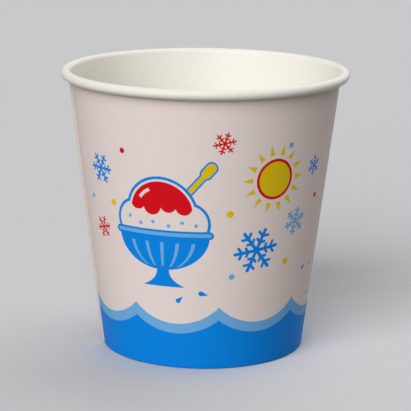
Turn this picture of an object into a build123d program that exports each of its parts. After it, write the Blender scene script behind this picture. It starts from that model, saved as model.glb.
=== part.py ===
"""A paper ice cream cup: a rolled paperboard wall with a rolled rim, and a base disc held in its foot."""

import os
from math import acos, asin, atan2, cos, degrees, hypot, radians, sin, tan

from build123d import *

# Outside sizes, in millimetres
rim_diameter = 90.0  # across the rolled rim
cup_height = 88.3  # floor to the top of the rim
base_diameter = 63.5  # across the foot of the wall
roll_diameter = 3.0  # thickness of the rolled rim

# Paperboard
wall_board = 0.4  # thickness of the wall's sheet
base_board = 0.35  # thickness of the base disc's sheet
film_gap = 0.03  # sealing film between two sheets

# Foot
base_recess = 7.0  # floor to the underside of the base disc
disc_bend = 0.4  # inside radius where the disc turns down into its skirt
hem_clearance = 0.6  # hem's cut edge below that bend
skirt_clearance = 0.3  # skirt's cut edge above the bend of the foot's fold

# Rim
roll_gap = 0.1  # rolled edge to the wall under the rim

# Side seam
lap_width = 7.0  # overlap of the two ends of the wall's sheet, measured under the rim
lap_ramp = 2.0  # run in which the outer end comes down from the overlap
lap_edge_angle = 190.5  # direction of the outer end's cut edge, in degrees from +X

# The wall's outside is a cone from the foot's edge to the roll, which it meets as a tangent
base_radius = base_diameter / 2
roll_radius = roll_diameter / 2
roll_centre = Vector(rim_diameter / 2 - roll_radius, cup_height - roll_radius)
roll_run = roll_centre.X - base_radius
roll_reach = hypot(roll_run, roll_centre.Y)
wall_angle = atan2(roll_run, roll_centre.Y) - asin((roll_radius - wall_board) / roll_reach)
up_the_wall = Vector(sin(wall_angle), cos(wall_angle))
into_the_cup = Vector(-cos(wall_angle), sin(wall_angle))

# Middles of the sheets at the foot, from the outside in
wall_depth = wall_board / 2
skirt_depth = wall_board + film_gap + base_board / 2
hem_depth = wall_board + film_gap + base_board + film_gap + wall_board / 2

# Levels
fold_level = wall_board / 2
fold_radius = base_board / 4
fold_top = wall_board + fold_radius
skirt_level = fold_top + skirt_clearance
disc_level = base_recess + base_board / 2
hem_level = base_recess - disc_bend - hem_clearance
roll_foot = cup_height - roll_diameter

# The roll turns until its cut edge has come round to the wall
roll_line = roll_radius - wall_board / 2
roll_start = roll_centre + into_the_cup * roll_line
roll_turn = 360 - degrees(acos(1 - (wall_board + roll_gap) / roll_radius))


def cone_radius(height, depth=0.0):
    """Radius, at a height, of the cone that lies this deep inside the wall's outer face."""
    return base_radius + height * tan(wall_angle) - depth / cos(wall_angle)


def cone_point(height, depth):
    """The same place as a point of the cup's upright section."""
    return (cone_radius(height, depth), height)


def around(radius, angle):
    """A point of a level section, at an angle in degrees around the cup's axis."""
    return (radius * cos(radians(angle)), radius * sin(radians(angle)))


# Directions of the side seam: the inner end's cut edge, and the end of the ramp beyond it,
# which runs on by half a sheet into the face that it meets
ramp_sink = wall_board / 2
inner_edge_angle = lap_edge_angle - degrees(lap_width / cone_radius(roll_foot))
ramp_angle = degrees(lap_ramp / cone_radius(roll_foot)) * (wall_board + ramp_sink) / wall_board
ramp_end_angle = inner_edge_angle - ramp_angle


def seam_lap(level):
    """Level section of the outer end of the sheet over the seam, rooted in the wall under it."""
    outside = cone_radius(level, -wall_board)
    root = cone_radius(level, ramp_sink)
    with BuildSketch(Plane.XY.offset(level)) as section:
        with BuildLine():
            Line(around(root, lap_edge_angle), around(outside, lap_edge_angle))
            CenterArc((0, 0), outside, lap_edge_angle, inner_edge_angle - lap_edge_angle)
            Line(around(outside, inner_edge_angle), around(root, ramp_end_angle))
            CenterArc((0, 0), root, ramp_end_angle, lap_edge_angle - ramp_end_angle)
        make_face()
    return section.sketch


def seam_groove(level):
    """Level section of the groove that the ramp leaves inside, beside the inner end's cut edge."""
    bottom = cone_radius(level)
    mouth = cone_radius(level, wall_board + ramp_sink)
    with BuildSketch(Plane.XY.offset(level)) as section:
        with BuildLine():
            Polyline(
                around(bottom, inner_edge_angle),
                around(mouth, ramp_end_angle),
                around(mouth, inner_edge_angle),
                close=True,
            )
        make_face()
    return section.sketch


# Wall: one sheet from the hem's cut edge, round the foot's fold, up the cone and round the rim
with BuildPart() as side_wall:
    with BuildSketch(Plane.XZ):
        with BuildLine():
            FilletPolyline(
                cone_point(hem_level, hem_depth),
                cone_point(fold_level, hem_depth),
                cone_point(fold_level, wall_depth),
                roll_start,
                radius=fold_radius + wall_board / 2,
            )
            JernArc(roll_start, up_the_wall, roll_line, -roll_turn)
        trace(line_width=wall_board)
    revolve(axis=Axis.Z)

    # Side seam, inside and out
    loft([seam_lap(fold_top), seam_lap(roll_foot)], ruled=True)
    loft([seam_groove(fold_top), seam_groove(roll_foot)], ruled=True, mode=Mode.SUBTRACT)
side_wall.part.label = "side_wall"

# Base: a flat disc whose edge is turned down between the wall and its hem
with BuildPart() as base_disc:
    with BuildSketch(Plane.XZ):
        with BuildLine():
            FilletPolyline(
                (0, disc_level),
                cone_point(disc_level, skirt_depth),
                cone_point(skirt_level, skirt_depth),
                radius=disc_bend + base_board / 2,
            )
        trace(line_width=base_board)
    revolve(axis=Axis.Z)
base_disc.part.label = "base_disc"

os.makedirs("parts", exist_ok=True)
export_step(side_wall.part, "parts/side_wall.step")
export_step(base_disc.part, "parts/base_disc.step")
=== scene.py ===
"""A paper ice cream cup: its rolled paperboard wall with a wave print, its base disc and a plain stage."""

from math import acos, asin, atan2, cos, degrees, hypot, pi, radians, sin, tan

import bmesh
import bpy
from bpy.props import FloatProperty, FloatVectorProperty, PointerProperty
from mathutils import Matrix, Vector


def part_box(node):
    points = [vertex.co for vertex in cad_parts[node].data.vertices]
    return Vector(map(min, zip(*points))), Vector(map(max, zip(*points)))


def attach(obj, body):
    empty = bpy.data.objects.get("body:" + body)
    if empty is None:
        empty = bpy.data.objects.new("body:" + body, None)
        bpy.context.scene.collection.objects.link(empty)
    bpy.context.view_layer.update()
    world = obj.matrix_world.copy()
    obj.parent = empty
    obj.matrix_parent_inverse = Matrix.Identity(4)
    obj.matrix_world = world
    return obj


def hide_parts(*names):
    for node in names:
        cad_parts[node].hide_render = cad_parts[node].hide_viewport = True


bl_info = {
    "name": "Paper Ice Cream Cup",
    "version": (1, 0, 0),
    "blender": (4, 5, 0),
    "location": "View3D > Sidebar > Paper Cup",
    "description": "Builds a rolled paperboard cup with a wave print, and the stage it stands on",
    "category": "Object",
}

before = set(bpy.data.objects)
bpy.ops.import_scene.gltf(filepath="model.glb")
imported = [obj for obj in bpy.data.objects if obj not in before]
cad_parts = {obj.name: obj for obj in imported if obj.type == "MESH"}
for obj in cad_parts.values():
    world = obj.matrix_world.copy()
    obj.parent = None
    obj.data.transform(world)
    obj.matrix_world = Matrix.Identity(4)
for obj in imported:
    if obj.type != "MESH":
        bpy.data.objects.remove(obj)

MM = 0.001
UP = Vector((0, 0, 1))
AXIS_FOOT = (0, 0, 0)
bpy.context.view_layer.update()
WALL_LOW, WALL_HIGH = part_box("side_wall")
DISC_LOW, DISC_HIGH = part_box("base_disc")

# Divisions of the wall's sheet along its section line
FOOT_STEPS = 3
FOLD_STEPS = 4
WALL_STEPS = 14
ROLL_STEPS = 28
ROLL_CUT = 2  # rows by which the roll is shorter at the overlap

# Divisions of the wall's sheet round the cup
ROUND_STEPS = 286
RAMP_STEPS = 3
LAP_STEPS = 8
COLUMNS_PER_RIDGE = 4

# Divisions of the base disc
DISC_SIDES = 144
DISC_INSETS = 4
BEND_SEGMENTS = 6

# Meshes
WELD = 0.002 * MM
RING_TOLERANCE = 0.01 * MM
SMOOTH_ANGLE = radians(35)

# Slots of a sheet's materials
FACE, BACK, CUT_EDGE = range(3)

# Places of the wall's faces in the map for its bake, as shares of the picture
BAKE_MAP = "OFBake"
BAKE_GAP = 0.004
FACE_BANDS = ((0.605, 0.995), (0.205, 0.595))
BACK_BAND = (0.06, 0.195)
EDGE_BAND = 0.006
EDGE_CELLS = 170
EDGE_CELL_HEIGHT = 0.008
CELL_CORNERS = ((0.15, 0.15), (0.85, 0.15), (0.85, 0.85), (0.15, 0.85))

# Nodes: the sockets of a Mix node that mixes colours, and the middle of a noise
MIX_COVER, MIX_BELOW, MIX_ABOVE, MIX_RESULT = 0, 6, 7, 2
NOISE_MEAN = 0.5

# Board: the sizes of its fibres, of the clouds they form, of its dimples and of its duller patches
FIBRE = 0.35 * MM
CLOUD = 2.2 * MM
DIMPLE = 6 * MM
PATCH = 9 * MM
CLOUD_SHADE = (0.95, 0.945, 0.93)
FIBRE_HEIGHT, DIMPLE_HEIGHT = 0.6, 1.6
BUMP_STRENGTH = 0.3
BUMP_DISTANCE = 0.03 * MM

# Roughness of the board's sides, and how far its fibres, its patches and the ink change it
PRINT_ROUGHNESS = 0.6
INSIDE_ROUGHNESS = 0.38
BASE_ROUGHNESS = 0.4
UNDERSIDE_ROUGHNESS = 0.7
CUT_ROUGHNESS = 0.8
FIBRE_CHANGE = 0.12
PATCH_CHANGE = 0.06
INK_CHANGE = 0.08

# How strongly bare board, and board under its film, mirror what is round them
MATT_GLOSS = 0.12
FILM_GLOSS = 0.25

# Print, in millimetres up the cup and degrees round it, from the front to the right
FRONT = 270.0  # the front's own direction, from +X
PANEL_TURN = 180.0  # from one panel to the next
SEAM_BLEED = 0.25  # bare margin past each side of the seam's overlap
HEM_BLEED = 2.4  # level at which the ink ends on the hem
HEM_DEPTH = 0.8  # how deep inside the wall's outer face the hem lies at least

# Inks: the width of their soft edge and their cover in its middle, how the edge strays, and their mottle
INKS = ("paper", "blue", "pale", "red", "yellow")
EDGE_WIDTH = 0.14
EDGE_COVER = 0.5
STRAY = 0.16
STRAY_SIZE = 0.8 * MM
MOTTLE_SIZE = 1.1 * MM
MOTTLE_SHADE = (0.93, 0.93, 0.93, 1.0)

# Waves: the turn from one to the next and the direction of a trough; its level and the radius of the arcs
WAVE_TURN = 45.0
WAVE_TROUGH = -14.2
PALE_WAVE = (14.65, 18.9)
BLUE_WAVE = (11.5, 21.5)

# Drops: direction, height, radius, tilt; and how far the tip is from the middle, in radii
DROPS = (
    (-12.6, 22.2, 0.75, -47),
    (-1.0, 24.75, 0.8, -103),
    (60.3, 28.9, 0.6, -70),
    (69.1, 29.2, 0.4, -58),
    (71.5, 19.0, 0.45, -60),
)
DROP_TIP = 2.8

# Dots: direction, height, radius, ink
DOTS = (
    (12.0, 50.0, 1.1, "yellow"),
    (44.0, 33.0, 1.1, "yellow"),
    (-46.0, 51.0, 1.0, "yellow"),
    (-63.0, 51.0, 0.8, "pale"),
    (14.0, 30.0, 0.9, "pale"),
    (63.0, 52.0, 0.9, "red"),
    (40.0, 70.0, 0.9, "pale"),
    (-38.0, 68.0, 0.9, "red"),
)

# Snow crystals: direction, height, reach, tilt, ink
CRYSTALS = (
    (26.0, 38.0, 7.4, 8, "blue"),
    (48.0, 45.5, 4.6, 20, "pale"),
    (8.5, 72.0, 3.6, 12, "red"),
    (-53.0, 61.0, 5.0, 0, "blue"),
    (-56.0, 42.0, 3.6, 15, "red"),
    (58.0, 62.0, 3.2, 25, "blue"),
)

# Arms of a snow crystal, and the roots and lengths of their twigs, as shares of its reach
CRYSTAL_ARMS = 6
ARM_LENGTH, ARM_RADIUS = 0.93, 0.075
TWIGS = ((0.36, 0.2), (0.64, 0.26))
TWIG_RADIUS = 0.062

# Sun: its place, and its disc, ring and rays
SUN_PLACE = (33.0, 60.0)
SUN_RADIUS = 6.4
SUN_RING = 0.9
SUN_RAYS = 14
RAY_ROOT, RAY_TIP = 7.6, 11.0
RAY_TAPER = 0.27

# Dish: the place under its stand, and from there sizes across and up
DISH_PLACE = (-20.0, 26.5)
DISH_RIM = 16.9
DISH_DEPTH = 11.5
DISH_REACH = 14.8
DISH_BOTTOM = 5.4
LIP_RADIUS = 1.25
LIP_INSIDE = 0.55
FLUTE_STEP = 4.8
FLUTE_HALF_WIDTH = 0.55
FLUTE_TOP = 14.2
FLUTE_INSET = 1.2
FLUTE_GATHER = 0.05
STAND_HEIGHT = 6.5
STAND_WAIST = 1.9
STAND_FLARE = 4.9
FLARE_POWER = 3.0

# Ice in the dish, from the same place: its dome, its lobes at both sides and its grains
DOME_LEVEL = 23.4
DOME_RADIUS = 11.2
LOBE_ACROSS, LOBE_LEVEL = 8.4, 20.6
LOBE_RADIUS = 6.4
ICE_OUTLINE = 0.9
ICE_GRAINS = ((-10.6, 21.6), (-6.8, 19.8), (-2.6, 20.6), (2.4, 19.6), (6.6, 20.8), (10.8, 20.0))
GRAIN_RADIUS = 0.6

# Syrup on the ice: its drips, each across, up and radius
SYRUP_LEVEL = 26.6
SYRUP_INSET = 1.15
SYRUP_DRIPS = ((-7.5, 26.6, 2.5), (-2.7, 25.6, 2.8), (2.5, 26.4, 2.6), (7.3, 25.8, 2.6))
DRIP_BLEND = 0.6

# Gleam on the syrup: its middle, its reach to both ends, and the arc about the dome's middle that it follows
GLEAM_ACROSS, GLEAM_LEVEL = -5.2, 29.6
GLEAM_REACH = 2.1
GLEAM_ARC = 8.1
GLEAM_HALF_WIDTH = 0.5

# Spoon: where it comes out of the ice and how it leans; its stem, its grip and its outline
SPOON_ACROSS, SPOON_LEVEL = 5.0, 26.0
SPOON_LEAN = radians(42)
STEM_LENGTH, STEM_RADIUS = 15.5, 0.75
GRIP_START, GRIP_END = 14.0, 16.5
GRIP_RADIUS = 1.45
SPOON_OUTLINE = 0.55

# Camera: its angles in radians, its lens in millimetres
CAMERA_PLACE = Vector((-0.36, -577.9, 176.9)) * MM
CAMERA_PITCH = -0.2258
CAMERA_YAW = 0.0015
CAMERA_ROLL = 0.0112
CAMERA_LENS = 163.5
CAMERA_NEAR = 10 * MM

# Floor, with its grain and how far that darkens it, and the rays that show it and the background
FLOOR_SIZE = 30.0
FLOOR_GRAIN = 4 * MM
GRAIN_SHADE = 0.04
BLACK = (0.0, 0.0, 0.0, 1.0)
SEEN_RAYS = ("Is Camera Ray", "Is Glossy Ray", "Is Transmission Ray")


def length(name, description, default):
    """A size in metres."""
    return FloatProperty(name=name, description=description, default=default, unit="LENGTH", precision=5)


def turn(name, description, default):
    """An angle, given in degrees and kept in radians."""
    return FloatProperty(name=name, description=description, default=radians(default), subtype="ANGLE")


def strength(name, description, default):
    """How strong a light is."""
    return FloatProperty(name=name, description=description, default=default, min=0)


def linear(level):
    """A screen colour's channel, 0 to 255, as the light it stands for."""
    level /= 255
    return level / 12.92 if level <= 0.04045 else ((level + 0.055) / 1.055) ** 2.4


def colour(name, description, *levels):
    """A colour, given in red, green and blue as it looks on a screen."""
    default = [linear(level) for level in levels]
    return FloatVectorProperty(
        name=name, description=description, default=default, subtype="COLOR", min=0, max=1)


class CupSizes(bpy.types.PropertyGroup):
    """Sizes of the cup's two sheets."""

    rim_diameter: length("Rim diameter", "Across the rolled rim", WALL_HIGH.x - WALL_LOW.x)
    height: length("Height", "Floor to the top of the rim", WALL_HIGH.z - WALL_LOW.z)
    base_diameter: length("Foot diameter", "Across the foot of the wall", 63.5 * MM)
    roll_diameter: length("Roll", "Thickness of the rolled rim", 3.0 * MM)
    wall_board: length("Wall board", "Thickness of the wall's sheet", 0.4 * MM)
    base_board: length("Base board", "Thickness of the base disc's sheet", 0.35 * MM)
    film_gap: length("Film", "Sealing film between two sheets", 0.03 * MM)
    base_top: length("Base level", "Floor to the top of the base disc", DISC_HIGH.z)
    disc_bend: length("Disc bend", "Inside radius where the disc turns down", 0.4 * MM)
    hem_clearance: length("Hem clearance", "Hem's cut edge below the disc's bend", 0.6 * MM)
    skirt_low: length("Skirt level", "Floor to the cut edge of the disc's skirt", DISC_LOW.z)
    roll_gap: length("Roll gap", "Rolled edge to the wall under the rim", 0.1 * MM)
    lap_width: length("Seam overlap", "Overlap of the sheet's two ends, under the rim", 7.0 * MM)
    lap_ramp: length("Seam ramp", "Run in which the outer end comes down from the overlap", 2.0 * MM)
    lap_gap: length("Seam glue", "Glue between the two ends", 0.02 * MM)
    lap_edge: turn("Seam direction", "Where the outer end's cut edge is, from +X", 190.5)
    ridge: length("Hem ridge", "Height of the ridges pressed into the hem", 0.1 * MM)


class CupColours(bpy.types.PropertyGroup):
    """Colours of the board and of the print's inks."""

    paper: colour("Paper", "Coated board, outside", 247, 233, 229)
    inside: colour("Inside", "Coated board, inside", 245, 242, 234)
    core: colour("Cut edge", "Raw board where the sheet is cut", 228, 214, 201)
    base: colour("Base", "Board of the base disc", 243, 240, 232)
    blue: colour("Blue ink", "Water, dish and outlines", 5, 142, 243)
    pale: colour("Pale blue ink", "Crest of the water, and flutes of the dish", 119, 187, 242)
    red: colour("Red ink", "Syrup, and the sun's ring", 228, 12, 28)
    yellow: colour("Yellow ink", "Sun and spoon", 239, 207, 18)


class CupStage(bpy.types.PropertyGroup):
    """Light and floor round the cup."""

    key_side: turn("Key direction", "Round from the front to the left, seen from above", 25)
    key_height: turn("Key height", "Elevation of the key light", 32)
    key_spread: turn("Key spread", "Apparent width of the key light", 50)
    key_strength: strength("Key strength", "Light on a face square to the key light", 2.58)
    back_side: turn("Back direction", "Round from the front to the left, seen from above", 217)
    back_height: turn("Back height", "Elevation of the back light", 42)
    back_spread: turn("Back spread", "Apparent width of the back light", 80)
    back_strength: strength("Back strength", "Light on a face square to the back light", 1.45)
    fill: strength("Fill", "Light from all round", 0.13)
    floor: colour("Floor", "Floor as the camera sees it", 215, 215, 217)
    floor_bounce: colour("Floor bounce", "Floor as the cup sees it", 120, 118, 116)
    backdrop: colour("Backdrop", "Far background", 202, 202, 204)


class SheetLine:
    """Middle line of the wall's sheet in an upright section: (radius, height) places, in metres."""

    def __init__(self, sizes):
        roll_radius = sizes.roll_diameter / 2
        self.foot_radius = sizes.base_diameter / 2
        self.roll_centre = Vector((sizes.rim_diameter / 2 - roll_radius, sizes.height - roll_radius))
        run = self.roll_centre.x - self.foot_radius
        reach = hypot(run, self.roll_centre.y)
        self.lean = atan2(run, self.roll_centre.y) - asin((roll_radius - sizes.wall_board) / reach)
        self.up = Vector((sin(self.lean), cos(self.lean)))
        inward = Vector((-cos(self.lean), sin(self.lean)))

        # Roll: from the wall, outwards and round until its cut edge meets the wall again
        self.roll_start = self.roll_centre + inward * (roll_radius - sizes.wall_board / 2)
        self.roll_turn = 2 * pi - acos(1 - (sizes.wall_board + sizes.roll_gap) / roll_radius)

        # Foot: the wall turns in under the skirt of the base disc and up again as a hem
        wall_depth = sizes.wall_board / 2
        self.skirt_depth = sizes.wall_board + sizes.film_gap + sizes.base_board / 2
        hem_depth = self.skirt_depth + sizes.base_board / 2 + sizes.film_gap + sizes.wall_board / 2
        fold_level = sizes.wall_board / 2
        self.fold_radius = sizes.base_board / 4 + sizes.wall_board / 2
        hem_level = sizes.base_top - sizes.base_board - sizes.disc_bend - sizes.hem_clearance
        self.hem_top = self.cone_point(hem_level, hem_depth)
        self.hem_foot = self.cone_point(fold_level, hem_depth)
        self.wall_foot = self.cone_point(fold_level, wall_depth)

        # Side seam: its turns, and the directions of the sheet's two cut edges from +X
        seam_radius = self.cone_point(sizes.height - sizes.roll_diameter, 0).x
        self.lap_angle = sizes.lap_width / seam_radius
        self.ramp_angle = sizes.lap_ramp / seam_radius
        self.outer_edge = sizes.lap_edge
        self.inner_edge = self.outer_edge - self.lap_angle

    def cone_point(self, height, depth):
        """The place at a height on the cone that lies this deep inside the wall's outer face."""
        return Vector((self.foot_radius + height * tan(self.lean) - depth / cos(self.lean), height))


class Pencil:
    """Draws a section line in edit mode, in an upright plane through the cup's axis, and sweeps it round."""

    def __init__(self, name, start, direction):
        self.outward = Vector((cos(direction), sin(direction), 0))
        bpy.ops.object.select_all(action="DESELECT")
        bpy.ops.mesh.primitive_plane_add(size=1.0)
        self.piece = bpy.context.object
        self.piece.name = self.piece.data.name = name
        bpy.ops.object.mode_set(mode="EDIT")
        bpy.ops.mesh.select_mode(type="VERT")
        bpy.ops.mesh.merge(type="CENTER")
        bpy.ops.transform.translate(value=self.in_plane(start))
        self.line = [start]
        self.turns = [0.0]

    def in_plane(self, place):
        """A place of the section, in space."""
        return self.outward * place.x + UP * place.y

    def run_to(self, goal, steps):
        """Draws a straight run, and gives the row where it ends."""
        start = self.line[-1]
        stride = (goal - start) / steps
        for step in range(steps):
            bpy.ops.mesh.extrude_vertices_move(TRANSFORM_OT_translate={"value": self.in_plane(stride)})
            self.line.append(start + stride * (step + 1))
        return len(self.line) - 1

    def turn_about(self, centre, angle, steps):
        """Draws an arc, anticlockwise where the angle is positive, and gives the row where it ends."""
        start = self.line[-1] - centre
        axis = self.outward.cross(UP)
        # Spin turns clockwise about its axis
        bpy.ops.mesh.spin(steps=steps, angle=-angle, center=self.in_plane(centre), axis=axis)
        for step in range(steps):
            self.line.append(centre + Matrix.Rotation(angle * (step + 1) / steps, 2) @ start)
        return len(self.line) - 1

    def fillet_to(self, corner, goal, radius):
        """Draws a run to a rounded corner that turns towards the goal; gives the rows where both end."""
        before = (corner - self.line[-1]).normalized()
        after = (goal - corner).normalized()
        bend = atan2(before.x * after.y - before.y * after.x, before.dot(after))
        run_end = self.run_to(corner - before * radius * tan(bend / 2), FOOT_STEPS)
        centre = self.line[-1] + Vector((-before.y, before.x)) * radius
        return run_end, self.turn_about(centre, bend, FOLD_STEPS)

    def sweep(self, angle, steps):
        """Carries the line, or the column that the last sweep ended at, round; gives the last column."""
        if len(self.turns) == 1:
            bpy.ops.mesh.select_all(action="SELECT")
        bpy.ops.mesh.spin(steps=steps, angle=-angle, center=AXIS_FOOT, axis=UP)
        start = self.turns[-1]
        self.turns += [start + angle * (step + 1) / steps for step in range(steps)]
        return len(self.turns) - 1

    def rows(self):
        """The row of each vertex of a column, in the order in which the mesh keeps them."""
        mesh = bmesh.from_edit_mesh(self.piece.data)
        mesh.verts.ensure_lookup_table()
        order = []
        for slot in range(len(self.line)):
            point = mesh.verts[slot].co
            place = Vector((point.dot(self.outward), point.z))
            order.append(min(range(len(self.line)), key=lambda row: (self.line[row] - place).length))
        return order


def unroll(piece, order, turns, line):
    """Gives a swept sheet, in edit mode, the map of its flat sheet: round the cup, and along its line."""
    runs = [0.0]
    for start, end in zip(line, line[1:]):
        runs.append(runs[-1] + (end - start).length)
    mesh = bmesh.from_edit_mesh(piece.data)
    flat = mesh.loops.layers.uv.new(BAKE_MAP)
    for face in mesh.faces:
        for loop in face.loops:
            column, slot = divmod(loop.vert.index, len(order))
            loop[flat].uv = (turns[column] / turns[-1], runs[order[slot]] / runs[-1])
    bmesh.update_edit_mesh(piece.data)


def select_cells(piece, order, chosen):
    """Selects, in edit mode, the vertices of a swept sheet whose column and row are chosen."""
    bpy.ops.mesh.select_all(action="DESELECT")
    mesh = bmesh.from_edit_mesh(piece.data)
    for index, vertex in enumerate(mesh.verts):
        column, slot = divmod(index, len(order))
        vertex.select = chosen(column, order[slot])
    mesh.select_flush(True)
    bmesh.update_edit_mesh(piece.data)


def delete_faces(piece, order, chosen):
    """Deletes, in edit mode, the faces of a swept sheet all of whose corners are chosen."""
    bpy.ops.mesh.select_mode(type="FACE")
    bpy.ops.mesh.select_all(action="DESELECT")
    mesh = bmesh.from_edit_mesh(piece.data)
    for face in mesh.faces:
        cells = [divmod(vertex.index, len(order)) for vertex in face.verts]
        face.select = all(chosen(column, order[slot]) for column, slot in cells)
    bmesh.update_edit_mesh(piece.data)
    bpy.ops.mesh.delete(type="FACE")
    bpy.ops.mesh.select_mode(type="VERT")


def thicken(piece, thickness, materials):
    """Thickens a sheet to both sides, with a material each for its face, its back and its cut edges."""
    for material in materials:
        piece.data.materials.append(material)
    bpy.ops.object.modifier_add(type="SOLIDIFY")
    board = piece.modifiers[-1]
    board.thickness = thickness
    board.offset = 0
    board.material_offset = BACK
    board.material_offset_rim = CUT_EDGE
    bpy.ops.object.modifier_apply(modifier=board.name)
    bpy.ops.object.shade_smooth_by_angle(angle=SMOOTH_ANGLE)


def lay_out(piece):
    """Lays a thick sheet's faces out in its map: its face in two halves, its back and its cut edges."""
    flat = piece.data.uv_layers[BAKE_MAP].data
    cells = 0
    for face in piece.data.polygons:
        loops = [flat[index] for index in face.loop_indices]
        if face.material_index == CUT_EDGE:
            row, place = divmod(cells, EDGE_CELLS)
            cells += 1
            for loop, (across, up) in zip(loops, CELL_CORNERS):
                loop.uv = ((place + across) / EDGE_CELLS, EDGE_BAND + (row + up) * EDGE_CELL_HEIGHT)
            continue
        bands = FACE_BANDS if face.material_index == FACE else (BACK_BAND,)
        middle = sum(loop.uv.x for loop in loops) / len(loops)
        part = int(middle * len(bands))
        low, high = bands[part]
        for loop in loops:
            across = loop.uv.x * len(bands) - part
            loop.uv = (BAKE_GAP + across * (1 - 2 * BAKE_GAP), low + loop.uv.y * (high - low))


def stand_for(piece, node):
    """Hangs a piece under the cup's root and hides the CAD solid that it takes the place of."""
    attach(piece, "root")
    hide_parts(node)


class CUP_OT_wall(bpy.types.Operator):
    """Rolls the wall's sheet: hem, fold, cone and rolled rim, lapped at the side seam"""

    bl_idname = "cup.wall"
    bl_label = "Wall"
    bl_options = {"REGISTER", "UNDO"}

    def execute(self, context):
        sizes = context.scene.cup_sizes
        line = SheetLine(sizes)

        # Section line, from the hem's cut edge to the roll's, with a row where the overlap begins
        pencil = Pencil("cup_wall", line.hem_top, line.inner_edge)
        hem_end, _ = pencil.fillet_to(line.hem_foot, line.wall_foot, line.fold_radius)
        _, fold_end = pencil.fillet_to(line.wall_foot, line.roll_start, line.fold_radius)
        lap_foot = pencil.run_to(pencil.line[-1] + line.up * sizes.wall_board, 1)
        pencil.run_to(line.roll_start, WALL_STEPS)
        roll_end = pencil.turn_about(line.roll_centre, -line.roll_turn, ROLL_STEPS)
        order = pencil.rows()

        # Round the cup to the ramp, up the ramp and over the other end of the sheet
        round_end = pencil.sweep(2 * pi - line.ramp_angle, ROUND_STEPS)
        ramp_end = pencil.sweep(line.ramp_angle, RAMP_STEPS)
        pencil.sweep(line.lap_angle, LAP_STEPS)
        cup = pencil.piece

        # Spin leaves the printed face looking inwards
        bpy.ops.mesh.select_all(action="SELECT")
        bpy.ops.mesh.flip_normals()

        unroll(cup, order, pencil.turns, pencil.line)

        # Ridges in the hem
        def on_ridge(column, row):
            return row < hem_end and 0 < column < round_end and column % COLUMNS_PER_RIDGE == 0

        select_cells(cup, order, on_ridge)
        bpy.ops.transform.shrink_fatten(value=sizes.ridge)

        # The outer end stands off by one board, above the fold
        step_out = (sizes.wall_board + sizes.lap_gap) / RAMP_STEPS
        for ramp_column in range(round_end + 1, ramp_end + 1):
            select_cells(cup, order, lambda column, row: column >= ramp_column and row > fold_end)
            bpy.ops.transform.shrink_fatten(value=step_out)

        # At the lap, the outer end stops above the fold, and the roll stops short of the thicker wall
        def cut_away(column, row):
            below_lap = column >= ramp_end and row <= lap_foot
            at_lap = column > round_end or column <= LAP_STEPS
            return below_lap or (at_lap and row >= roll_end - ROLL_CUT)

        delete_faces(cup, order, cut_away)
        bpy.ops.mesh.select_all(action="SELECT")
        bpy.ops.mesh.remove_doubles(threshold=WELD)
        bpy.ops.object.mode_set(mode="OBJECT")

        colours = context.scene.cup_colours
        thicken(cup, sizes.wall_board, [
            printed_paperboard(colours, line),
            plain_board("inside_paperboard", colours.inside, INSIDE_ROUGHNESS, FILM_GLOSS),
            plain_board("cut_edge", colours.core, CUT_ROUGHNESS, MATT_GLOSS),
        ])
        lay_out(cup)
        stand_for(cup, "side_wall")
        return {"FINISHED"}


def select_ring(piece, place):
    """Selects, in edit mode, the ring of edges at a radius and height."""
    bpy.ops.mesh.select_mode(type="EDGE")
    bpy.ops.mesh.select_all(action="DESELECT")
    mesh = bmesh.from_edit_mesh(piece.data)
    for edge in mesh.edges:
        offs = [Vector((hypot(end.co.x, end.co.y), end.co.z)) - place for end in edge.verts]
        edge.select = all(off.length < RING_TOLERANCE for off in offs)
    if not any(edge.select for edge in mesh.edges):
        raise RuntimeError(f"{piece.name} has no ring of edges at {place}")
    mesh.select_flush(True)
    bmesh.update_edit_mesh(piece.data)


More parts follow.
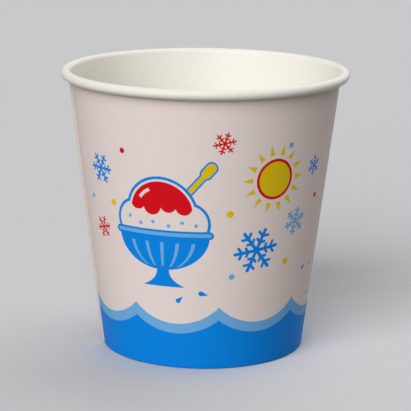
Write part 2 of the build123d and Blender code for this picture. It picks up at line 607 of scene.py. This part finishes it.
class CUP_OT_base(bpy.types.Operator):
    """Presses the base disc, whose edge turns down between the wall and its hem"""

    bl_idname = "cup.base"
    bl_label = "Base disc"
    bl_options = {"REGISTER", "UNDO"}

    def execute(self, context):
        sizes = context.scene.cup_sizes
        line = SheetLine(sizes)
        level = sizes.base_top - sizes.base_board / 2
        corner = line.cone_point(level, line.skirt_depth)

        # The skirt's cut edge is square to its slope, so its middle ends above its lowest point
        skirt_level = sizes.skirt_low + sizes.base_board / 2 * sin(line.lean)
        skirt = line.cone_point(skirt_level, line.skirt_depth)

        bpy.ops.object.select_all(action="DESELECT")
        bpy.ops.mesh.primitive_circle_add(vertices=DISC_SIDES, radius=corner.x, fill_type="NGON")
        disc = context.object
        disc.name = disc.data.name = "base_disc_sheet"
        bpy.ops.object.mode_set(mode="EDIT")
        bpy.ops.transform.translate(value=UP * level)

        # Rings towards the middle, and a pole
        for _ in range(DISC_INSETS):
            bpy.ops.mesh.inset(thickness=corner.x / (DISC_INSETS + 1))
        bpy.ops.mesh.poke()

        # Skirt, along the slope of the wall
        select_ring(disc, corner)
        bpy.ops.mesh.extrude_edges_move(TRANSFORM_OT_translate={"value": UP * (skirt.y - corner.y)})
        taper = skirt.x / corner.x
        bpy.ops.transform.resize(value=(taper, taper, 1), center_override=AXIS_FOOT)

        # Bend between them
        select_ring(disc, corner)
        bend = (sizes.disc_bend + sizes.base_board / 2) * tan((pi / 2 + line.lean) / 2)
        bpy.ops.mesh.bevel(offset=bend, segments=BEND_SEGMENTS, affect="EDGES")
        bpy.ops.mesh.select_all(action="SELECT")
        bpy.ops.mesh.normals_make_consistent(inside=False)
        bpy.ops.object.mode_set(mode="OBJECT")

        colours = context.scene.cup_colours
        thicken(disc, sizes.base_board, [
            plain_board("base_paperboard", colours.base, BASE_ROUGHNESS, FILM_GLOSS),
            plain_board("base_underside", colours.base, UNDERSIDE_ROUGHNESS, MATT_GLOSS),
            plain_board("base_cut_edge", colours.core, CUT_ROUGHNESS, MATT_GLOSS),
        ])
        stand_for(disc, "base_disc")
        return {"FINISHED"}


class Field:
    """A number that varies over a surface: a node's output, whose arithmetic adds Math nodes."""

    def __init__(self, bench, socket):
        self.bench = bench
        self.socket = socket

    def __add__(self, other):
        return self.bench.math("ADD", self, other)

    def __sub__(self, other):
        return self.bench.math("SUBTRACT", self, other)

    def __rsub__(self, other):
        return self.bench.math("SUBTRACT", other, self)

    def __mul__(self, other):
        return self.bench.math("MULTIPLY", self, other)

    def __truediv__(self, other):
        return self.bench.math("DIVIDE", self, other)

    def __abs__(self):
        return self.bench.math("ABSOLUTE", self)

    __radd__ = __add__


class Bench:
    """Adds nodes to a tree and wires them up."""

    def __init__(self, tree):
        self.tree = tree
        self.tree.nodes.clear()

    def node(self, kind, inputs=(), **settings):
        """A new node with its settings, and with its inputs by name or number."""
        node = self.tree.nodes.new(kind)
        for name, value in settings.items():
            setattr(node, name, value)
        for name, value in dict(inputs).items():
            self.feed(node.inputs[name], value)
        return node

    def feed(self, socket, value):
        """Wires an output into a socket, or sets the socket's own value."""
        source = value.socket if isinstance(value, Field) else value
        if isinstance(source, bpy.types.NodeSocket):
            self.tree.links.new(source, socket)
        else:
            socket.default_value = source

    def math(self, operation, *values, clamp=False):
        """One Math node."""
        node = self.node("ShaderNodeMath", enumerate(values), operation=operation, use_clamp=clamp)
        return Field(self, node.outputs[0])

    def least(self, *fields):
        """The smallest of some fields: the union of shapes."""
        result = fields[0]
        for field in fields[1:]:
            result = self.math("MINIMUM", result, field)
        return result

    def most(self, *fields):
        """The largest of some fields: what shapes have in common."""
        result = fields[0]
        for field in fields[1:]:
            result = self.math("MAXIMUM", result, field)
        return result

    def far(self, across, up):
        """Distance from the place where both are zero."""
        return self.math("SQRT", self.math("MULTIPLY_ADD", across, across, up * up))

    def wrap(self, field, span):
        """A field that runs over a span with zero in its middle, again and again."""
        return self.math("WRAP", field, span / 2, -span / 2)

    def between(self, field, low, high):
        """A field kept between two limits."""
        return self.math("MAXIMUM", self.math("MINIMUM", field, high), low)

    def rod(self, along, off, start, end, radius):
        """Distance from a round-ended stroke that lies along a line."""
        past = along - self.between(along, start, end)
        return self.far(past, off) - radius

    def arm(self, across, up, arms):
        """Folds a rosette onto one half of one arm: how far a place is along that arm, and off it."""
        bearing = abs(self.wrap(self.math("ARCTAN2", up, across), 2 * pi / arms))
        far = self.far(across, up)
        return far * self.math("COSINE", bearing), far * self.math("SINE", bearing)

    def noise(self, place, size, detail=2.0):
        """Smooth noise from 0 to 1, with features of a size."""
        inputs = {"Vector": place, "Scale": 1 / size, "Detail": detail}
        return Field(self, self.node("ShaderNodeTexNoise", inputs).outputs[0])

    def mix(self, cover, below, above, blend="MIX"):
        """A colour laid over another."""
        inputs = {MIX_COVER: cover, MIX_BELOW: below, MIX_ABOVE: above}
        return self.node("ShaderNodeMix", inputs, data_type="RGBA", blend_type=blend).outputs[MIX_RESULT]


def rgba(colour_value):
    """A colour with full cover."""
    return (*colour_value, 1.0)


def new_material(name):
    """A fresh node material: its bench, and its Object coordinates."""
    material = bpy.data.materials.new(name)
    material.use_nodes = True
    bench = Bench(material.node_tree)
    place = bench.node("ShaderNodeTexCoord").outputs["Object"]
    return material, bench, place


def board_colour(bench, place, base):
    """Board with the cloudy look of its fibres."""
    cloud = bench.noise(place, CLOUD, detail=4)
    darker = tuple(channel * share for channel, share in zip(base, CLOUD_SHADE))
    return bench.mix(cloud, rgba(base), rgba(darker))


def board_finish(bench, place, base_colour, roughness, gloss):
    """Ends a material in board: fine fibres under a surface that isn't quite level."""
    fibre = bench.noise(place, FIBRE, detail=4)
    height = fibre * FIBRE_HEIGHT + bench.noise(place, DIMPLE) * DIMPLE_HEIGHT
    bump = bench.node("ShaderNodeBump", {
        "Height": height,
        "Strength": BUMP_STRENGTH,
        "Distance": BUMP_DISTANCE,
    })
    shader = bench.node("ShaderNodeBsdfPrincipled", {
        "Base Color": base_colour,
        "Roughness": roughness + (fibre - NOISE_MEAN) * FIBRE_CHANGE,
        "Normal": bump.outputs[0],
        "Specular IOR Level": gloss,
    })
    bench.node("ShaderNodeOutputMaterial", {"Surface": shader.outputs[0]})


def plain_board(name, base, roughness, gloss):
    """Unprinted board, duller in places."""
    material, bench, place = new_material(name)
    uneven = roughness + (bench.noise(place, PATCH) - NOISE_MEAN) * PATCH_CHANGE
    board_finish(bench, place, board_colour(bench, place, base), uneven, gloss)
    return material


class Sheet:
    """The printed face laid flat: its direction, radius and height as fields, with inks laid on in turn."""

    def __init__(self, bench, place, colours, line):
        self.bench = bench
        self.inks = {name: rgba(getattr(colours, name)) for name in INKS}
        axes = bench.node("ShaderNodeSeparateXYZ", {0: place}).outputs
        x, y, self.height = (Field(bench, axis) * (1 / MM) for axis in axes)
        self.radius = bench.far(x, y)
        self.direction = bench.math("ARCTAN2", x, y * -1) * degrees(1)
        self.panel = bench.wrap(self.direction, PANEL_TURN)
        self.slant = 1 / cos(line.lean)
        self.stray = (bench.noise(place, STRAY_SIZE, detail=3) - NOISE_MEAN) * STRAY
        self.colour = board_colour(bench, place, colours.paper)
        self.inked = None

    def arc(self, turned):
        """A turn in degrees, as millimetres round the cup."""
        return turned * self.radius * radians(1)

    def spot(self, direction, height, tilt=0.0):
        """Across and up, in millimetres, from a place of the panel."""
        across = self.arc(self.panel - direction)
        up = (self.height - height) * self.slant
        if not tilt:
            return across, up
        lean = radians(tilt)
        return across * cos(lean) + up * sin(lean), up * cos(lean) - across * sin(lean)

    def lay(self, shape, ink):
        """Lays an ink on a shape, given as the distance outside it."""
        strayed = shape + self.stray
        cover = self.bench.math("MULTIPLY_ADD", strayed, -1 / EDGE_WIDTH, EDGE_COVER, clamp=True)
        self.colour = self.bench.mix(cover, self.colour, self.inks[ink])
        self.inked = cover if self.inked is None else self.bench.most(self.inked, cover)


def wave(sheet, trough, bow):
    """Water up to a line of hanging arcs."""
    bench = sheet.bench
    across = sheet.arc(bench.wrap(sheet.direction - WAVE_TROUGH, WAVE_TURN))
    up = (sheet.height - trough) * sheet.slant - bow
    return bench.most(bow - bench.far(across, up), up)


def drop(sheet, direction, height, radius, tilt):
    """A round drop, whose sides run straight on from the round to its tip."""
    bench = sheet.bench
    across, up = sheet.spot(direction, height, tilt)
    lean = asin(1 / DROP_TIP)
    sides = abs(across) * cos(lean) + up * sin(lean) - radius
    tip = bench.most(sides, radius * sin(lean) - up)
    return bench.least(bench.far(across, up) - radius, tip)


def crystal_group():
    """Node group of a snow crystal: the distance outside it, from a place across and up."""
    tree = bpy.data.node_groups.new("snow_crystal", "ShaderNodeTree")
    bench = Bench(tree)
    names = ("Across", "Up", "Reach")
    for name in names:
        tree.interface.new_socket(name, in_out="INPUT", socket_type="NodeSocketFloat")
    tree.interface.new_socket("Distance", in_out="OUTPUT", socket_type="NodeSocketFloat")
    given = bench.node("NodeGroupInput").outputs
    across, up, reach = (Field(bench, given[name]) for name in names)

    # An arm, and twigs that lean out from it to the direction of the next arm
    along, off = bench.arm(across / reach, up / reach, CRYSTAL_ARMS)
    strokes = [bench.rod(along, off, 0.0, ARM_LENGTH, ARM_RADIUS)]
    lean = 2 * pi / CRYSTAL_ARMS
    for root, twig in TWIGS:
        outward = along - root
        leaning = outward * cos(lean) + off * sin(lean)
        aside = off * cos(lean) - outward * sin(lean)
        strokes.append(bench.rod(leaning, aside, 0.0, twig, TWIG_RADIUS))
    bench.node("NodeGroupOutput", {0: bench.least(*strokes) * reach})
    return tree


def crystal(sheet, group, direction, height, reach, tilt):
    """A snow crystal on the sheet."""
    across, up = sheet.spot(direction, height, tilt)
    node = sheet.bench.node("ShaderNodeGroup", node_tree=group)
    for socket, value in zip(node.inputs, (across, up, reach)):
        sheet.bench.feed(socket, value)
    return Field(sheet.bench, node.outputs[0])


def lay_sun(sheet):
    """A sun with a ring and tapered rays."""
    bench = sheet.bench
    across, up = sheet.spot(*SUN_PLACE)
    along, off = bench.arm(across, up, SUN_RAYS)
    ray = bench.most(off - (RAY_TIP - along) * RAY_TAPER, RAY_ROOT - along)
    sheet.lay(ray, "yellow")
    far = bench.far(across, up)
    sheet.lay(far - SUN_RADIUS, "red")
    sheet.lay(far - SUN_RADIUS + SUN_RING, "yellow")


def lay_spoon(sheet, across, up):
    """A spoon that leans out of the ice."""
    bench = sheet.bench
    across, up = across - SPOON_ACROSS, up - SPOON_LEVEL
    along = across * sin(SPOON_LEAN) + up * cos(SPOON_LEAN)
    off = across * cos(SPOON_LEAN) - up * sin(SPOON_LEAN)
    stem = bench.rod(along, off, 0.0, STEM_LENGTH, STEM_RADIUS)
    grip = bench.rod(along, off, GRIP_START, GRIP_END, GRIP_RADIUS)
    spoon = bench.least(stem, grip)
    sheet.lay(spoon - SPOON_OUTLINE, "blue")
    sheet.lay(spoon, "yellow")


def lay_ice(sheet, across, up):
    """A heap of ice, with syrup that runs down from its top."""
    bench = sheet.bench
    from_dome = bench.far(across, up - DOME_LEVEL)
    dome = from_dome - DOME_RADIUS
    lobes = bench.far(abs(across) - LOBE_ACROSS, up - LOBE_LEVEL) - LOBE_RADIUS
    heap = bench.most(bench.least(dome, lobes), DISH_RIM - up)
    sheet.lay(heap - ICE_OUTLINE / 2, "blue")
    sheet.lay(heap + ICE_OUTLINE / 2, "paper")

    # Syrup
    syrup = SYRUP_LEVEL - up
    for drip_across, drip_up, radius in SYRUP_DRIPS:
        drip = bench.far(across - drip_across, up - drip_up) - radius
        syrup = bench.math("SMOOTH_MIN", syrup, drip, DRIP_BLEND)
    sheet.lay(bench.most(dome + SYRUP_INSET, syrup), "red")

    # Gleam
    stroke = abs(from_dome - GLEAM_ARC) - GLEAM_HALF_WIDTH
    ends = bench.far(across - GLEAM_ACROSS, up - GLEAM_LEVEL) - GLEAM_REACH
    sheet.lay(bench.most(stroke, ends), "paper")

    # Grains
    for grain_across, grain_up in ICE_GRAINS:
        sheet.lay(bench.far(across - grain_across, up - grain_up) - GRAIN_RADIUS, "pale")


def lay_dish(sheet, across, up):
    """A fluted dish on a flared stand."""
    bench = sheet.bench
    side = abs(across)
    down = (DISH_RIM - up) / DISH_DEPTH
    bulge = bench.math("SQRT", bench.most(1 - down * down, 0.0))
    dish = bench.most(side - bulge * DISH_REACH, up - DISH_RIM, DISH_BOTTOM - up)
    flare = bench.math("POWER", bench.between(1 - up / STAND_HEIGHT, 0.0, 1.0), FLARE_POWER)
    stand = bench.most(side - flare * STAND_FLARE - STAND_WAIST, 0.0 - up, up - STAND_HEIGHT)
    sheet.lay(bench.least(dish, stand), "blue")

    # Flutes, which draw together towards the stand
    flute = abs(bench.wrap(across / (bulge + FLUTE_GATHER), FLUTE_STEP)) - FLUTE_HALF_WIDTH
    sheet.lay(bench.most(flute, dish + FLUTE_INSET, up - FLUTE_TOP), "pale")

    # Lip
    lip = bench.rod(across, up - DISH_RIM, -DISH_REACH, DISH_REACH, 0.0)
    sheet.lay(lip - LIP_RADIUS, "blue")
    sheet.lay(lip - LIP_INSIDE, "pale")


def printed_paperboard(colours, line):
    """Board printed with waves at the foot and ice above them, bare along the seam."""
    material, bench, place = new_material("printed_paperboard")
    sheet = Sheet(bench, place, colours, line)
    sheet.lay(wave(sheet, *PALE_WAVE), "pale")
    sheet.lay(wave(sheet, *BLUE_WAVE), "blue")
    for spot in DROPS:
        sheet.lay(drop(sheet, *spot), "blue")
    for direction, height, radius, ink in DOTS:
        sheet.lay(bench.far(*sheet.spot(direction, height)) - radius, ink)
    group = crystal_group()
    for *spot, ink in CRYSTALS:
        sheet.lay(crystal(sheet, group, *spot), ink)
    lay_sun(sheet)
    across, up = sheet.spot(*DISH_PLACE)
    for lay_part in (lay_spoon, lay_ice, lay_dish):
        lay_part(sheet, across, up)

    # Bare margin over the seam's overlap
    middle = degrees(line.outer_edge + line.inner_edge) / 2 - FRONT
    half = degrees(line.lap_angle) / 2 + SEAM_BLEED
    sheet.lay(sheet.arc(abs(sheet.direction - middle) - half), "paper")

    # The ink ends a little way up the hem, which lies deep inside the wall's outer face
    depth = line.foot_radius / MM + sheet.height * tan(line.lean) - sheet.radius
    sheet.lay(bench.most(HEM_BLEED - sheet.height, HEM_DEPTH - depth), "paper")

    # Ink isn't quite even
    mottle = bench.noise(place, MOTTLE_SIZE, detail=5) * sheet.inked
    uneven = bench.mix(mottle, sheet.colour, MOTTLE_SHADE, blend="MULTIPLY")
    board_finish(bench, place, uneven, PRINT_ROUGHNESS - sheet.inked * INK_CHANGE, MATT_GLOSS)
    return material


def seen_ray(bench):
    """One for rays that show the stage itself: the camera's, and those in gloss and glass."""
    rays = bench.node("ShaderNodeLightPath").outputs
    return bench.most(*[Field(bench, rays[name]) for name in SEEN_RAYS])


def floor_material(stage):
    """A matt floor with a faint grain, pale to the eye and darker in what it throws back."""
    material, bench, place = new_material("floor")
    grain = bench.noise(place, FLOOR_GRAIN, detail=4) * GRAIN_SHADE
    pale = bench.mix(grain, rgba(stage.floor), BLACK)
    shown = bench.mix(seen_ray(bench), rgba(stage.floor_bounce), pale)
    shader = bench.node("ShaderNodeBsdfDiffuse", {"Color": shown})
    bench.node("ShaderNodeOutputMaterial", {"Surface": shader.outputs[0]})
    return material


def studio_world(stage):
    """Even light from all round, with a pale background."""
    world = bpy.data.worlds.new("studio")
    world.use_nodes = True
    bench = Bench(world.node_tree)
    fill = rgba((stage.fill, stage.fill, stage.fill))
    shown = bench.mix(seen_ray(bench), fill, rgba(stage.backdrop))
    light = bench.node("ShaderNodeBackground", {"Color": shown})
    bench.node("ShaderNodeOutputWorld", {"Surface": light.outputs[0]})
    return world


def add_lamp(name, side, height, spread, power):
    """A broad lamp, far away: its direction round from the front to the left, and its elevation."""
    level = cos(height)
    towards = Vector((-sin(side) * level, -cos(side) * level, sin(height)))
    bpy.ops.object.light_add(type="SUN", rotation=towards.to_track_quat("Z", "Y").to_euler())
    lamp = bpy.context.object
    lamp.name = lamp.data.name = name
    lamp.data.energy = power
    lamp.data.angle = spread


class CUP_OT_stage(bpy.types.Operator):
    """Sets out the floor, the light and the camera"""

    bl_idname = "cup.stage"
    bl_label = "Stage"
    bl_options = {"REGISTER", "UNDO"}

    def execute(self, context):
        stage = context.scene.cup_stage
        bpy.ops.object.select_all(action="DESELECT")
        bpy.ops.mesh.primitive_plane_add(size=FLOOR_SIZE)
        floor = context.object
        floor.name = floor.data.name = "floor"
        floor.data.materials.append(floor_material(stage))

        add_lamp("key", stage.key_side, stage.key_height, stage.key_spread, stage.key_strength)
        add_lamp("back", stage.back_side, stage.back_height, stage.back_spread, stage.back_strength)
        context.scene.world = studio_world(stage)

        bpy.ops.object.camera_add(location=CAMERA_PLACE)
        camera = context.object
        camera.name = camera.data.name = "camera"
        aim = Matrix.Rotation(-CAMERA_YAW, 3, "Z") @ Matrix.Rotation(pi / 2 + CAMERA_PITCH, 3, "X")
        camera.rotation_euler = (aim @ Matrix.Rotation(CAMERA_ROLL, 3, "Z")).to_euler()
        camera.data.lens = CAMERA_LENS
        camera.data.clip_start = CAMERA_NEAR
        context.scene.camera = camera
        context.scene.view_settings.view_transform = "Standard"
        return {"FINISHED"}


class CUP_PT_sidebar(bpy.types.Panel):
    """Steps that build the cup, and its sizes, colours and stage"""

    bl_label = "Paper Cup"
    bl_idname = "CUP_PT_sidebar"
    bl_space_type = "VIEW_3D"
    bl_region_type = "UI"
    bl_category = "Paper Cup"

    def draw(self, context):
        for operator in (CUP_OT_wall, CUP_OT_base, CUP_OT_stage):
            self.layout.operator(operator.bl_idname)
        for group in (context.scene.cup_sizes, context.scene.cup_colours, context.scene.cup_stage):
            box = self.layout.box()
            for name in group.__annotations__:
                box.prop(group, name)


CLASSES = (CupSizes, CupColours, CupStage, CUP_OT_wall, CUP_OT_base, CUP_OT_stage, CUP_PT_sidebar)


def register():
    """Adds the classes and the scene's properties to Blender."""
    for cls in CLASSES:
        bpy.utils.register_class(cls)
    bpy.types.Scene.cup_sizes = PointerProperty(type=CupSizes)
    bpy.types.Scene.cup_colours = PointerProperty(type=CupColours)
    bpy.types.Scene.cup_stage = PointerProperty(type=CupStage)


def unregister():
    """Takes them away again."""
    del bpy.types.Scene.cup_stage
    del bpy.types.Scene.cup_colours
    del bpy.types.Scene.cup_sizes
    for cls in reversed(CLASSES):
        bpy.utils.unregister_class(cls)


def main():
    """Builds the cup on its stage."""
    register()
    bpy.ops.cup.wall()
    bpy.ops.cup.base()
    bpy.ops.cup.stage()


if __name__ == "__main__":
    main()
